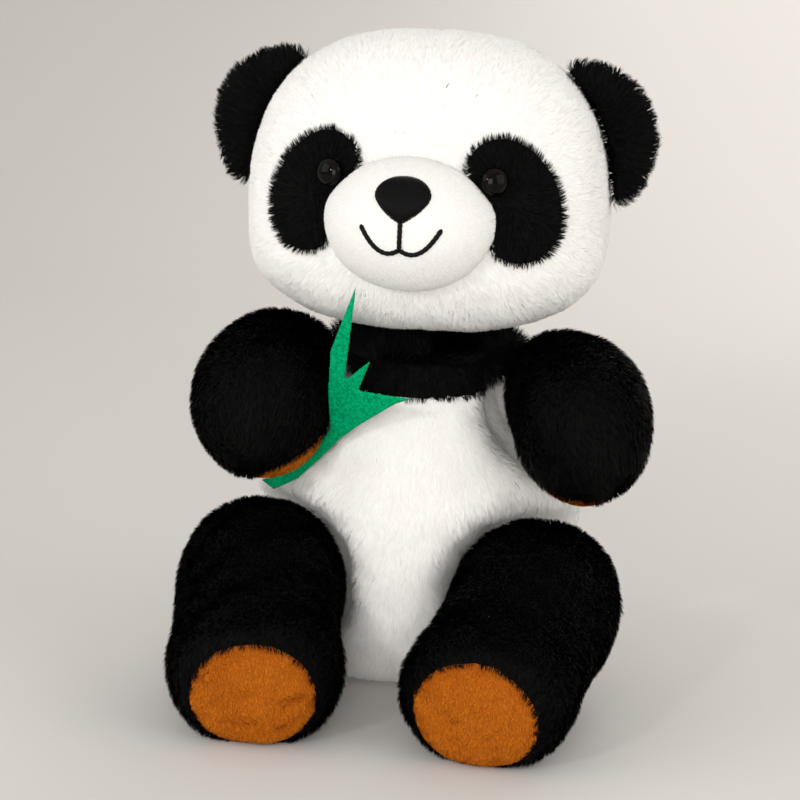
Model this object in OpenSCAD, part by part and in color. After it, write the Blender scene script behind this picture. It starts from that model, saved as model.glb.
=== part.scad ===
/* [Head] */
// Half of the head's width at the cheeks
head_w = 95; // [90:1:97]
// Half of the head's depth
head_d = 72; // [70:1:74]
// Height of the cheek line, where the head is widest
head_z = 246; // [244:1:249]
// Height of the crown above the cheek line
head_up = 99; // [95:1:101]
// Depth of the jaw below the cheek line
head_down = 55; // [53:1:56]

/* [Face] */
// Half of the snout's width
snout_w = 44; // [40:1:46]
// Half of the snout's height
snout_h = 35; // [32:1:37]
// How far the snout stands out of the face
snout_out = 29; // [24:1:32]
// Diameter of a safety eye
eye_dia = 14; // [12:0.5:15]
// Half of the nose's width
nose_r = 13; // [11:0.5:14]

/* [Torso] */
// Half of the torso's width at the belly
belly_w = 91; // [88:1:94]
// Depth of the belly in front of the torso's middle
belly_front = 70; // [66:1:72]
// Depth of the back behind the torso's middle
belly_back = 60; // [56:1:64]
// Height of the torso's widest line
belly_z = 74; // [70:1:78]
// Height of the neck opening
torso_top = 183; // [180:1:184]
// Height of the seam under the black chest band
band_z = 158; // [152:1:162]

/* [Limbs] */
// Radius of a forearm
arm_r = 34; // [31:1:35]
// Radius of a thigh
leg_r = 43; // [39:1:44]
// Radius of a foot
foot_r = 43; // [40:1:45]
// Height of an ear above its seam
ear_h = 24; // [21:1:28]
// Radius of the tail
tail_r = 15; // [12:1:18]

/* [Fabric] */
// Thickness of the pile fabric with its pile pressed down
fabric_t = 2.4; // [2:0.1:2.8]
// Thickness of the short-pile fabric of snout, pads and soles
velour_t = 1.6; // [1.2:0.1:1.8]
// Thickness of the felt leaf
felt_t = 1.6; // [1:0.1:2]

/* [Hidden] */

// The figure sits facing -Y. Right and left are the panda's own: right is -X.
RIGHT = -1;
LEFT = 1;
gap = 0.4;            // clearance between neighbouring pieces
press = 3;            // room that the torso leaves around a limb
white = [0.95, 0.94, 0.92];
black = [0.05, 0.05, 0.06];
tan_brown = [0.74, 0.42, 0.16];
green = [0.05, 0.58, 0.36];
wadding = [0.9, 0.9, 0.94];

head_y = -10;
head_n = 2.6;         // roundness of the head seen from the front
plan_n = 2.25;        // roundness of the head seen from above
pole = 89.3;          // latitude of the last ring before a pole
torso_y = -2;
snout_z = 252;
snout_n = 0.9;        // fullness of the snout's outline
eye_at = [40, 274.8];   // X and Z of an eye
patch_at = [50, 265];
patch_r = [23, 33];
patch_tilt = 24;
shaft_r = 2.3;

// ---- small helpers ----
function spow(x, p) = sign(x) * pow(abs(x), p);
function unit(a) = a / norm(a);
function average(pts, i = 0) = i < len(pts) ? pts[i] / len(pts) + average(pts, i + 1) : [0, 0, 0];
function bezier(p, t) =
    pow(1 - t, 3) * p[0] + 3 * pow(1 - t, 2) * t * p[1] + 3 * (1 - t) * t * t * p[2] + pow(t, 3) * p[3];
function bezier_way(p, t) =
    3 * pow(1 - t, 2) * (p[1] - p[0]) + 6 * (1 - t) * t * (p[2] - p[1]) + 3 * t * t * (p[3] - p[2]);
function above_floor(p, h) = [p.x, p.y, max(p.z, h)];

// Moves a point of the surface f inwards, square to the surface, by depth.
function inset(f, u, v, depth, e = 0.4) =
    let (
        along_u = f(u + e, v) - f(u - e, v),
        along_v = f(u, v + e) - f(u, v - e)
    )
    f(u, v) - depth * unit(cross(along_v, along_u));

// A closed solid between the surfaces outer(u, v) and inner(u, v). v runs round the piece and
// closes on itself when ring is true. An end named in poles, at u0 or u1, closes to a point.
module between(outer, inner, us, vs, ring = false, poles = [false, false]) {
    nu = len(us);
    nv = len(vs);
    grid = nu * nv;
    turns = ring ? nv : nv - 1;
    function at(side, i, j) = side * grid + i * nv + (j % nv);
    function row(f, i) = [for (v = vs) f(us[i], v)];
    points = concat(
        [for (u = us) for (v = vs) outer(u, v)],
        [for (u = us) for (v = vs) inner(u, v)],
        [for (i = [0, nu - 1]) for (f = [outer, inner]) average(row(f, i))]
    );
    apex = 2 * grid;
    walls = [
        for (i = [0:nu - 2]) for (j = [0:turns - 1]) for (side = [0, 1])
        let (
            a = at(side, i, j),
            b = at(side, i, j + 1),
            c = at(side, i + 1, j + 1),
            d = at(side, i + 1, j)
        )
        each side == 0 ? [[a, c, b], [a, d, c]] : [[a, b, c], [a, c, d]]
    ];
    ends = [
        for (e = [0, 1]) for (j = [0:turns - 1])
        let (
            i = e * (nu - 1),
            a = at(0, i, j),
            b = at(0, i, j + 1),
            c = at(1, i, j + 1),
            d = at(1, i, j),
            top = apex + 2 * e
        )
        each poles[e]
            ? (e == 0 ? [[top, a, b], [top + 1, c, d]] : [[top, b, a], [top + 1, d, c]])
            : (e == 0 ? [[a, b, c], [a, c, d]] : [[a, c, b], [a, d, c]])
    ];
    sides = ring ? [] : [
        for (i = [0:nu - 2]) for (e = [0, 1])
        let (
            j = e * (nv - 1),
            a = at(0, i, j),
            b = at(0, i + 1, j),
            c = at(1, i + 1, j),
            d = at(1, i, j)
        )
        each e == 0 ? [[a, c, b], [a, d, c]] : [[a, b, c], [a, c, d]]
    ];
    polyhedron(points, concat(walls, ends, sides));
}

// One cut panel of pile fabric: a patch of the surface f with its thickness inside the surface.
module panel(f, us, vs, depth = fabric_t, ring = false, poles = [false, false]) {
    between(f, function (u, v) inset(f, u, v, depth), us, vs, ring, poles);
}

// A filling: a whole closed form whose rings are f(u, v), with its two ends closed.
module filling(f, us, vs) {
    nu = len(us);
    nv = len(vs);
    rings = [for (u = us) [for (v = vs) f(u, v)]];
    points = concat([for (r = rings) each r], [average(rings[0]), average(rings[nu - 1])]);
    walls = [
        for (i = [0:nu - 2]) for (j = [0:nv - 1])
        let (
            a = i * nv + j,
            b = i * nv + (j + 1) % nv,
            c = b + nv,
            d = a + nv
        )
        each [[a, c, b], [a, d, c]]
    ];
    low = [for (j = [0:nv - 1]) [nu * nv, j, (j + 1) % nv]];
    high = [for (j = [0:nv - 1]) [nu * nv + 1, (nu - 1) * nv + (j + 1) % nv, (nu - 1) * nv + j]];
    polyhedron(points, concat(walls, low, high));
}

function steps(a, b, n) = [for (i = [0:n]) a + (b - a) * i / n];
function turn(n) = [for (i = [0:n - 1]) 360 * i / n];

// ---- limbs: rings along a bent centre line ----
hip = [68, -24, 56];
shoulder = [54, -14, 156];
leg_way = [hip, [84, -52, 64], [60, -118, 38], [53.5, -171, 24]];
right_arm_way = [shoulder, [84, -36, 168], [82, -70, 154], [60, -104, 143]];
left_arm_way = [shoulder, [93, -32, 166], [101, -62, 153], [81, -94, 135]];
function mirrored(way, side) = [for (p = way) [side * p.x, p.y, p.z]];
function leg_line(side) = mirrored(leg_way, side);
function arm_line(side) = mirrored(side == RIGHT ? right_arm_way : left_arm_way, side);

// Rounds both ends of a limb: 1 along its length, falling to nearly 0 at t = 0 and t = 1.
function cap_round(t, a, b) =
    t < a ? pow(1 - pow((a - t) / a, 2.2), 0.5)
    : t > 1 - b ? pow(1 - pow((t - 1 + b) / b, 2.6), 0.5)
    : 1;
function leg_radius(t) =
    lookup(t, [[0, 33], [0.3, leg_r], [0.62, 39], [0.84, foot_r], [1, foot_r]]) * cap_round(t, 0.26, 0.2);
function arm_radius(t) =
    lookup(t, [[0, 30], [0.45, arm_r - 1], [0.75, arm_r], [1, arm_r]]) * cap_round(t, 0.24, 0.36);
function ring_point(line, t, v, r, tall) =
    let (
        way = unit(bezier_way(line, t)),
        across = unit(cross([0, 0, 1], way)),
        up = cross(way, across)
    )
    bezier(line, t) + r * cos(v) * across + r * tall * sin(v) * up;
// A thigh is round, and a foot is flatter than it is wide.
function leg_tall(t) = lookup(t, [[0, 1], [0.45, 1], [0.84, 0.8], [0.95, 0.96], [1, 0.96]]);
arm_tall = 1.08;
function leg_point(side, t, v) = above_floor(ring_point(leg_line(side), t, v, leg_radius(t), leg_tall(t)), 0);
function arm_point(side, t, v) = ring_point(arm_line(side), t, v, arm_radius(t), arm_tall);

sole_start = 0.95;
leg_t = [0.008, 0.04, 0.1, 0.18, 0.28, 0.4, 0.52, 0.64, 0.74, 0.82, 0.88, 0.925, sole_start];
sole_t = [sole_start, 0.97, 0.99];
arm_t = [0.008, 0.04, 0.1, 0.2, 0.34, 0.48, 0.6, 0.7, 0.79, 0.87, 0.93, 0.97, 0.992];
e_t = 0.004;

// ---- the torso: an egg, pressed in where a limb lies against it ----
function torso_size(z) =
    z < belly_z ? pow(1 - pow((belly_z - z) / (belly_z + 6), 3.2), 1 / 3.2)
    : pow(1 - pow((z - belly_z) / 125, 2.2), 1 / 2.2);
function limb_balls() = [
    for (side = [RIGHT, LEFT]) each concat(
        [for (t = [0.06:0.1:0.86]) [bezier(leg_line(side), t), leg_radius(t) + press]],
        [for (t = [0.06:0.13:0.85]) [bezier(arm_line(side), t), arm_radius(t) * arm_tall + press]]
    )
];
balls = limb_balls();
// Distance from p along way to the nearest limb, or far when no limb is met.
function limb_hit(p, way, far) = min([
    for (b = balls)
    let (
        m = p - b[0],
        half = m * way,
        disc = half * half - (m * m - b[1] * b[1])
    )
    disc > 0 && -half - sqrt(disc) > 0 ? -half - sqrt(disc) : far
]);
function torso_radius(z, v) =
    let (
        free = torso_size(z)
            / norm([cos(v) / belly_w, sin(v) / (sin(v) < 0 ? belly_front : belly_back)])
    )
    min([
        for (dz = [-5, 0, 5]) for (dv = [-6, 0, 6])
        limb_hit([0, torso_y, z + dz], [cos(v + dv), sin(v + dv), 0], free)
    ]);
function torso_point(z, v) =
    let (r = max(torso_radius(z, v), 14))
    [r * cos(v), torso_y + r * sin(v), z];
torso_z = [0, 3, 8, 16, 28, 42, 56, 70, 82, 92, 102, 113, 124, 136, 147, band_z];
band_steps = [band_z, 166, 174, torso_top];

// ---- the head: a wide dome with a flatter jaw ----
function head_point(u, v) =
    let (
        size = pow(cos(u), 2 / head_n),
        r = size / pow(pow(abs(cos(v)) / head_w, plan_n) + pow(abs(sin(v)) / head_d, plan_n), 1 / plan_n)
    )
    [r * cos(v), head_y + r * sin(v), head_z + (u > 0 ? head_up : head_down) * spow(sin(u), 2 / head_n)];
// The head's size at a height, and the Y of its face at a place seen from the front
function head_size(z) = pow(1 - pow(abs(z - head_z) / (z > head_z ? head_up : head_down), head_n), 1 / head_n);
function face_y(x, z) =
    head_y - head_d * pow(pow(head_size(z), plan_n) - pow(abs(x) / head_w, plan_n), 1 / plan_n);
function face_normal(x, z) =
    let (e = 0.5)
    unit([
        face_y(x + e, z) - face_y(x - e, z),
        -2 * e,
        face_y(x, z + e) - face_y(x, z - e)
    ]);
head_u = [-pole, -74, -60, -46, -32, -20, -8, 4, 16, 28, 40, 52, 64, 77, pole];

// ---- pieces of the torso ----
module torso_panel(zs, v0, v1, n) {
    panel(function (z, v) torso_point(z, v), zs, steps(v0, v1, n));
}
module belly_panel_right() { color(white) torso_panel(torso_z, 180, 270, 9); }
module belly_panel_left() { color(white) torso_panel(torso_z, 270, 360, 9); }
module back_panel_right() { color(white) torso_panel(torso_z, 90, 180, 9); }
module back_panel_left() { color(white) torso_panel(torso_z, 0, 90, 9); }
module chest_band() { color(black) torso_panel(band_steps, 180, 360, 18); }
module shoulder_band() { color(black) torso_panel(band_steps, 0, 180, 18); }

module seat_panel() {
    rim = 2 * fabric_t;
    color(white) linear_extrude(fabric_t) polygon([
        for (v = turn(36))
        let (r = torso_radius(0, v) - rim)
        [r * cos(v), torso_y + r * sin(v)]
    ]);
}

torso_f = function (z, v) torso_point(z, v);
module torso_stuffing() {
    depth = fabric_t + 2 * gap;
    levels = concat([for (z = torso_z) if (z > depth) z], [for (z = band_steps) if (z > band_z) z]);
    color(wadding) filling(
        function (z, v) let (p = above_floor(inset(torso_f, z, v, depth), depth)) [p.x, p.y, min(p.z, torso_top)],
        levels, turn(36)
    );
}

tail_z = 36;
module tail() {
    back = torso_y + belly_back * torso_size(tail_z);
    color(white) translate([0, back + tail_r + 0.6, tail_z]) filling(
        function (u, v) tail_r * [cos(u) * cos(v), cos(u) * sin(v), sin(u)], steps(-80, 80, 8), turn(16)
    );
}

// A thread laid along points on a surface: a chain of short round-ended links
module thread(pts, r, sides = 6) {
    n = len(pts);
    ways = [for (i = [0:n - 1]) unit(pts[min(i + 1, n - 1)] - pts[max(i - 1, 0)])];
    rings = [
        for (i = [0:n - 1])
        let (
            a = unit(cross(ways[i], abs(ways[i].y) < 0.9 ? [0, 1, 0] : [1, 0, 0])),
            b = cross(ways[i], a)
        )
        [for (k = turn(sides)) pts[i] + r * (cos(k) * a + sin(k) * b)]
    ];
    walls = [
        for (i = [0:n - 2]) for (j = [0:sides - 1])
        let (
            a = i * sides + j,
            b = i * sides + (j + 1) % sides
        )
        each [[a, b + sides, b], [a, a + sides, b + sides]]
    ];
    polyhedron(
        [for (ring = rings) each ring],
        concat(walls, [[for (j = [0:sides - 1]) j]], [[for (j = [sides - 1:-1:0]) (n - 1) * sides + j]])
    );
}

module closing_thread() {
    r = 0.4;
    color(white) thread([
        for (i = [0:12])
        let (
            z = 84 + 4 * i,
            v = 90 + (i % 2 == 0 ? 1.6 : -1.6)
        )
        inset(torso_f, z, v, -r - 0.3)
    ], r);
}

// ---- the neck ----
// A low cone, so that the head can rock on it
neck_r = [36, 30];
neck_levels = [[0, 1], [0.1, 0.97], [0.55, 0.55], [1, 0.12]];
module neck_stuffing() {
    low = torso_top + 0.6;
    high = head_z - head_down - 0.6;
    color(wadding) filling(
        function (k, v)
            let (size = lookup(k, neck_levels))
            [neck_r.x * size * cos(v), torso_y - 3 + neck_r.y * size * sin(v), low + k * (high - low)],
        [for (level = neck_levels) level[0]], turn(20)
    );
}

// ---- pieces of the head ----
head_f = function (u, v) head_point(u, v);
module head_panel(v0, v1) { color(white) panel(head_f, head_u, steps(v0, v1, 8)); }
module eye_frame(side) {
    n = face_normal(side * eye_at.x, eye_at[1]);
    translate([side * eye_at.x, face_y(side * eye_at.x, eye_at[1]), eye_at[1]])
        rotate([0, acos(n.z), atan2(n.y, n.x)]) children();
}
module shaft_hole(side) { eye_frame(side) translate([0, 0, -8]) cylinder(h = 16, r = shaft_r + 0.1, $fn = 24); }
module face_panel(side, v0, v1) {
    color(white) difference() {
        head_panel(v0, v1);
        shaft_hole(side);
    }
}
module face_panel_right() { face_panel(RIGHT, 180, 270); }
module face_panel_left() { face_panel(LEFT, 270, 360); }
module head_back_right() { head_panel(90, 180); }
module head_back_left() { head_panel(0, 90); }
washer_dia = 12;
module head_stuffing() {
    color(wadding) difference() {
        filling(function (u, v) inset(head_f, u, v, fabric_t + gap), head_u, turn(32));
        for (side = [RIGHT, LEFT])
            eye_frame(side) translate([0, 0, -18]) cylinder(h = 19, r = washer_dia / 2 + 0.5, $fn = 24);
    }
}

// The snout is a dome over an oval of the face. x and z are measured from the middle of the face.
function snout_y(x, z) =
    let (
        far = norm([x / snout_w, (z - snout_z) / snout_h]),
        lat = acos(min(pow(far, 1 / snout_n), 1))
    )
    face_y(x, z) - gap - snout_out * pow(sin(lat), 1.15);
function snout_point(u, v) =
    let (
        size = pow(cos(u), snout_n),
        x = snout_w * size * cos(v),
        z = snout_z + snout_h * size * sin(v)
    )
    [x, face_y(x, z) - gap - snout_out * pow(max(sin(u), 0), 1.15), z];
snout_u = [1, 12, 24, 36, 48, 60, 72, 82];
module snout_skin() {
    color(white) panel(function (u, v) snout_point(u, v), snout_u, turn(24), velour_t, true, [false, true]);
}
module snout_stuffing() {
    depth = velour_t + gap;
    front = function (u, v) inset(function (a, b) snout_point(a, b), u, v, depth);
    color(wadding) between(
        front,
        function (u, v) let (p = front(u, v)) [p.x, face_y(p.x, p.z) - gap, p.z],
        [14, 24, 36, 48, 60, 72, 82], turn(24), true, [false, true]
    );
}

// A flat piece sewn on a surface y(x, z): out is how far its front and its back stand off it.
module applique(y, outline, middle, out, rings = 4) {
    place = function (u, v, off)
        let (p = middle + (1 - u) * outline(v))
        [p.x, y(p.x, p[1]) - off, p[1]];
    between(
        function (u, v) place(u, v, out[0]), function (u, v) place(u, v, out[1]),
        steps(0, 1 - 1 / (rings + 1), rings), turn(24), true, [false, true]
    );
}
nose_z = 267.5;
module nose() {
    color(black) applique(
        function (x, z) snout_y(x, z), function (v) nose_r * (1 + 0.12 * sin(3 * v)) * [cos(v), 0.86 * sin(v)],
        [0, nose_z], [1.6, 0.3]
    );
}
mouth_half = 20;
mouth_z = 242.5;
function lip(x) = mouth_z - 0.75 * abs(x) + 0.065 * x * x;
module mouth_thread() {
    r = 0.9;
    off = r + 0.5;
    bottom_of_nose = nose_z - nose_r;
    color(black) {
        thread([for (x = steps(-mouth_half, mouth_half, 16)) [x, snout_y(x, lip(x)) - off, lip(x)]], r);
        thread([for (z = steps(mouth_z + 1.6, bottom_of_nose - 1.5, 4)) [0, snout_y(0, z) - off, z]], r);
    }
}
module eye_patch(side) {
    outline = function (v)
        let (
            p = [patch_r.x * cos(v), patch_r.y * sin(v)],
            a = side * patch_tilt
        )
        [p.x * cos(a) + p.y * sin(a) * -1, p.x * sin(a) + p.y * cos(a)];
    color(black) difference() {
        applique(
            function (x, z) face_y(x, z), outline, [side * patch_at.x, patch_at[1]], [fabric_t, 0.6], 5
        );
        shaft_hole(side);
        snout_room();
    }
}
// Keeps the patches clear of the snout's edge
module snout_room() {
    translate([0, 0, snout_z]) rotate([90, 0, 0]) linear_extrude(200)
        polygon([for (v = turn(48)) [(snout_w + 1.5) * cos(v), (snout_h + 1.5) * sin(v)]]);
}
module eye(side) {
    r = eye_dia / 2;
    dome = 5.5;
    color("black") eye_frame(side) translate([0, 0, fabric_t + 0.9]) rotate_extrude($fn = 48) polygon(concat(
        [[0, -17], [shaft_r - 0.6, -17], [shaft_r, -16]],
        [for (i = [0:3]) each [[shaft_r, -12.5 + 2 * i], [shaft_r - 0.35, -11.5 + 2 * i]]],
        [[shaft_r, -4], [shaft_r, 0], [r, 0], [r, 0.8]],
        [for (a = [10:10:90]) [r * cos(a), 0.8 + dome * sin(a)]]
    ));
}
module eye_washer(side) {
    color("white") eye_frame(side) translate([0, 0, -fabric_t - 2.6]) difference() {
        cylinder(h = 1.6, r = washer_dia / 2, $fn = 48);
        translate([0, 0, -1]) cylinder(h = 4, r = shaft_r + 0.05, $fn = 48);
    }
}
module eye_patch_right() { eye_patch(RIGHT); }
module eye_patch_left() { eye_patch(LEFT); }
module eye_right() { eye(RIGHT); }
module eye_left() { eye(LEFT); }
module eye_washer_right() { eye_washer(RIGHT); }
module eye_washer_left() { eye_washer(LEFT); }

// ---- ears: two layers of pile fabric, sewn round the edge ----
ear_way = [0.96, 0, 0.28];
ear_low = 4;          // latitudes of the head between which an ear is sewn on
ear_high = 53;
ear_off = 2.8;        // clearance between the ear and the head
ear_edge = 2.2;       // thickness of one layer at the ear's edge
function ear_rise(q) = pow(1 - pow(2 * q - 1, 2), 0.5);
function ear_base(q) = head_point(ear_low + (ear_high - ear_low) * q, 0) + ear_off * ear_way;
function ear_point(q, s) = ear_base(q) + s * ear_h * ear_rise(q) * ear_way;
function ear_plump(q, s) = 3.4 * ear_rise(q) * (1 - pow(s, 3)) * (0.5 + s);
module ear_layer(side, way) {
    lift = function (q, s, off) let (p = ear_point(q, s)) [p.x, p.y + way * off, p.z];
    qs = [0.02, 0.08, 0.18, 0.3, 0.42, 0.5, 0.58, 0.7, 0.82, 0.92, 0.98];
    color(black) mirror([side < 0 ? 1 : 0, 0, 0]) between(
        function (q, s) lift(q, s, way > 0 ? 0.2 : ear_edge + ear_plump(q, s)),
        function (q, s) lift(q, s, way > 0 ? ear_edge + ear_plump(q, s) : 0.2),
        qs, steps(0, 1, 6)
    );
}
module ear_front_right() { ear_layer(RIGHT, -1); }
module ear_back_right() { ear_layer(RIGHT, 1); }
module ear_front_left() { ear_layer(LEFT, -1); }
module ear_back_left() { ear_layer(LEFT, 1); }

// ---- arms ----
// A palm pad lies on the arm's surface, under the paw.
pad_t = [0.62, 0.68, 0.75, 0.82, 0.88, 0.93];
function pad_half(t) = 42 * pow(max(1 - pow((t - 0.775) / 0.165, 2), 0), 0.5);
function pad_middle(side) = side == RIGHT ? 300 : 262;
module arm_panel(side, v0, v1) {
    color(black) panel(
        function (t, v) arm_point(side, t * e_t, v), arm_t / e_t, steps(v0, v1, 10)
    );
}
module palm_pad(side) {
    place = function (t, k, off)
        inset(function (a, b) arm_point(side, a * e_t, b), t / e_t, pad_middle(side) + k * max(pad_half(t), 1.5), off);
    color(tan_brown) between(
        function (t, k) place(t, k, -0.5 - velour_t), function (t, k) place(t, k, -0.5), pad_t, steps(-1, 1, 6)
    );
}
module arm_stuffing(side) {
    skin = function (t, v) arm_point(side, t * e_t, v);
    color(wadding) filling(
        function (t, v) inset(skin, t, v, fabric_t + gap), arm_t / e_t, turn(20)
    );
}
module arm_outer_right() { arm_panel(RIGHT, 90, 270); }
module arm_inner_right() { arm_panel(RIGHT, -90, 90); }
module arm_outer_left() { arm_panel(LEFT, -90, 90); }
module arm_inner_left() { arm_panel(LEFT, 90, 270); }
module palm_pad_right() { palm_pad(RIGHT); }
module palm_pad_left() { palm_pad(LEFT); }
module arm_stuffing_right() { arm_stuffing(RIGHT); }
module arm_stuffing_left() { arm_stuffing(LEFT); }

// ---- legs ----
function leg_skin(side, depth) = function (t, v)
    above_floor(inset(function (a, b) leg_point(side, a * e_t, b), t, v, depth), depth);
module leg_panel(side, v0, v1) {
    color(black) between(leg_skin(side, 0), leg_skin(side, fabric_t), leg_t / e_t, steps(v0, v1, 10));
}
module sole(side) {
    color(tan_brown) between(
        leg_skin(side, 0), leg_skin(side, velour_t), sole_t / e_t, turn(20), true, [false, true]
    );
}
module leg_stuffing(side) {
    depth = fabric_t + gap;
    rings = concat(leg_t, [for (t = sole_t) if (t > sole_start) t]) / e_t;
    color(wadding) filling(leg_skin(side, depth), rings, turn(20));
}
module leg_outer_right() { leg_panel(RIGHT, 90, 270); }
module leg_inner_right() { leg_panel(RIGHT, -90, 90); }
module leg_outer_left() { leg_panel(LEFT, -90, 90); }
module leg_inner_left() { leg_panel(LEFT, 90, 270); }
module sole_right() { sole(RIGHT); }
module sole_left() { sole(LEFT); }
module leg_stuffing_right() { leg_stuffing(RIGHT); }
module leg_stuffing_left() { leg_stuffing(LEFT); }

// ---- the bamboo leaf: cut from flat felt, held between paw and belly ----
leaf_at = [-78, -51, 118];
leaf_turn = [109, 0, -13];
leaf_outline = [
    [6, -17], [21, -8], [35, 6], [48, 20], [60, 30], [81, 45], [90, 49], [61, 50],
    [70, 69], [54, 55], [66, 111], [48, 72], [44, 47], [43, 26], [31, 9], [12, -7], [-1, -12]
];
module leaf_place() { translate(leaf_at) rotate(leaf_turn) children(); }
module bamboo_leaf() { color(green) leaf_place() linear_extrude(felt_t) polygon(leaf_outline); }
module leaf_thread() {
    color(green) leaf_place() for (i = [0:2])
        translate([36 + 4 * i, 12 + 6 * i, felt_t]) cylinder(h = 0.5, r = 0.6, $fn = 12);
}

belly_panel_right();
belly_panel_left();
back_panel_right();
back_panel_left();
chest_band();
shoulder_band();
seat_panel();
tail();
torso_stuffing();
closing_thread();
neck_stuffing();
face_panel_right();
face_panel_left();
head_back_right();
head_back_left();
snout_skin();
snout_stuffing();
nose();
mouth_thread();
eye_patch_right();
eye_patch_left();
eye_right();
eye_left();
eye_washer_right();
eye_washer_left();
head_stuffing();
ear_front_right();
ear_back_right();
ear_front_left();
ear_back_left();
arm_outer_right();
arm_inner_right();
palm_pad_right();
arm_stuffing_right();
arm_outer_left();
arm_inner_left();
palm_pad_left();
arm_stuffing_left();
leg_outer_right();
leg_inner_right();
sole_right();
leg_stuffing_right();
leg_outer_left();
leg_inner_left();
sole_left();
leg_stuffing_left();
bamboo_leaf();
leaf_thread();
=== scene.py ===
# %% [markdown]
# # A seated plush panda: cloth, stuffing and pile around its CAD frame
#
# The CAD part holds the cut panels, the stuffing, the sewn joints and their
# places. This script gives the toy its softness: each stuffed form is puffed up
# with a cloth simulation that is held at the seams, and then pile is grown on it
# as short tapered blades, combed the way real plush lies.
#
# Lengths are in metres. The toy sits on the floor at Z = 0 and looks along -Y.
# Its own right side, with the bamboo leaf, is at -X.

import math

import bpy
import numpy as np
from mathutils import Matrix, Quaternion, Vector
from mathutils.bvhtree import BVHTree
from mathutils.geometry import convex_hull_2d
from mathutils.kdtree import KDTree


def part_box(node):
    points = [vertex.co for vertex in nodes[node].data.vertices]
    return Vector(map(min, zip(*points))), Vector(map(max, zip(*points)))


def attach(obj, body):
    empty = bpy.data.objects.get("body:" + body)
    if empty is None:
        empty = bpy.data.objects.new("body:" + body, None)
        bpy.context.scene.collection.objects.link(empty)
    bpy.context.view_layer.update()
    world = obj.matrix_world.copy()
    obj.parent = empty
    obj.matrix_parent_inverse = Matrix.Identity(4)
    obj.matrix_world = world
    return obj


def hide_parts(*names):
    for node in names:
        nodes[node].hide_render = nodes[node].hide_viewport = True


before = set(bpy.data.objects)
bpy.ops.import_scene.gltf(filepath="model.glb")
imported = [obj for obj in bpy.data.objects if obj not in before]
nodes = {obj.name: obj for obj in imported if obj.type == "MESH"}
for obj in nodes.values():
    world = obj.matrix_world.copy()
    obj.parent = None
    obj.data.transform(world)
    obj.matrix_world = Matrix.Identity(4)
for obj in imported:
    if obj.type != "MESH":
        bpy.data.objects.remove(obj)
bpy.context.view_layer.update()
scene = bpy.context.scene
SIDES = ("right", "left")
MM = 0.001
print("CAD nodes:", len(nodes))

# %% [markdown]
# ## Camera
#
# The camera stands a little to the toy's left and above it, and is turned
# slightly about its own line of sight, so the toy seems to lean.

# %% Camera
AZIMUTH, ELEVATION, ROLL = math.radians(7.85), math.radians(10.46), math.radians(2.59)
DISTANCE = 1.1487
TARGET = Vector((0, -0.030, 0.170))
AIM_RIGHT, AIM_UP = -0.00797, -0.0179
back = Vector(
    (
        math.sin(AZIMUTH) * math.cos(ELEVATION),
        -math.cos(AZIMUTH) * math.cos(ELEVATION),
        math.sin(ELEVATION),
    )
)
right = Vector((math.cos(AZIMUTH), math.sin(AZIMUTH), 0))
up = back.cross(right)
camera = bpy.data.objects.new("camera", bpy.data.cameras.new("camera"))
camera.data.sensor_width = 36
camera.data.lens = 97.5
camera.data.clip_start = 0.05
camera.location = TARGET + back * DISTANCE
aim = TARGET + right * AIM_RIGHT + up * AIM_UP
camera.rotation_mode = "QUATERNION"
camera.rotation_quaternion = (aim - camera.location).to_track_quat(
    "-Z", "Y"
) @ Quaternion((0, 0, 1), ROLL)
scene.collection.objects.link(camera)
scene.camera = camera
print("camera at", [round(c, 3) for c in camera.location])


# %% [markdown]
# ## Materials, floor and lamps
#
# Pile has three tones of each colour, and the cloth under it has one. The floor
# bends up into a wall. Wide lamps on both sides keep the white cloth even, and a
# small one in front gives the eyes a bright point.

# %% Materials
def material(name, color, roughness, sheen=0.0, coat=0.0, specular=0.5):
    m = bpy.data.materials.new(name)
    m.use_nodes = True
    shader = m.node_tree.nodes["Principled BSDF"]
    shader.inputs["Base Color"].default_value = (*color, 1)
    shader.inputs["Roughness"].default_value = roughness
    shader.inputs["Sheen Weight"].default_value = sheen
    shader.inputs["Sheen Roughness"].default_value = 0.5
    shader.inputs["Coat Weight"].default_value = coat
    shader.inputs["Coat Roughness"].default_value = 0.03
    shader.inputs["Specular IOR Level"].default_value = specular
    m.diffuse_color = (*color, 1)
    return m


def tones(name, colors, roughness, sheen, specular=0.12):
    """The same finish in a few tones, one of which each blade of pile takes."""
    return [
        material(f"{name}_{i}", c, roughness, sheen, specular=specular)
        for i, c in enumerate(colors)
    ]


WHITE = (0.87, 0.86, 0.84)
BLACK = (0.0016, 0.0016, 0.0016)
BROWN = (0.55, 0.145, 0.008)
white_pile = tones(
    "white_pile", [WHITE, (0.84, 0.83, 0.81), (0.90, 0.89, 0.875)], 0.75, 0.15
)
black_pile = tones(
    "black_pile", [BLACK, (0.003, 0.003, 0.003), (0.006, 0.0057, 0.0055)], 0.6, 0.0, 0.06
)
brown_pile = tones(
    "brown_pile", [BROWN, (0.45, 0.105, 0.005), (0.64, 0.19, 0.014)], 0.7, 0.0, 0.05
)
white_cloth = material("white_cloth", (0.80, 0.79, 0.77), 0.8)
black_cloth = material("black_cloth", (0.002, 0.002, 0.002), 0.8, specular=0.1)
brown_cloth = material("brown_cloth", (0.42, 0.10, 0.005), 0.8, specular=0.1)
thread_black = material("thread_black", (0.0025, 0.0022, 0.0022), 0.5, specular=0.12)
thread_green = material("thread_green", (0.01, 0.22, 0.09), 0.6)
thread_white = material("thread_white", (0.8, 0.79, 0.77), 0.6)
washer = material("washer", (0.7, 0.7, 0.68), 0.4)
print("materials:", len(bpy.data.materials))

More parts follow.
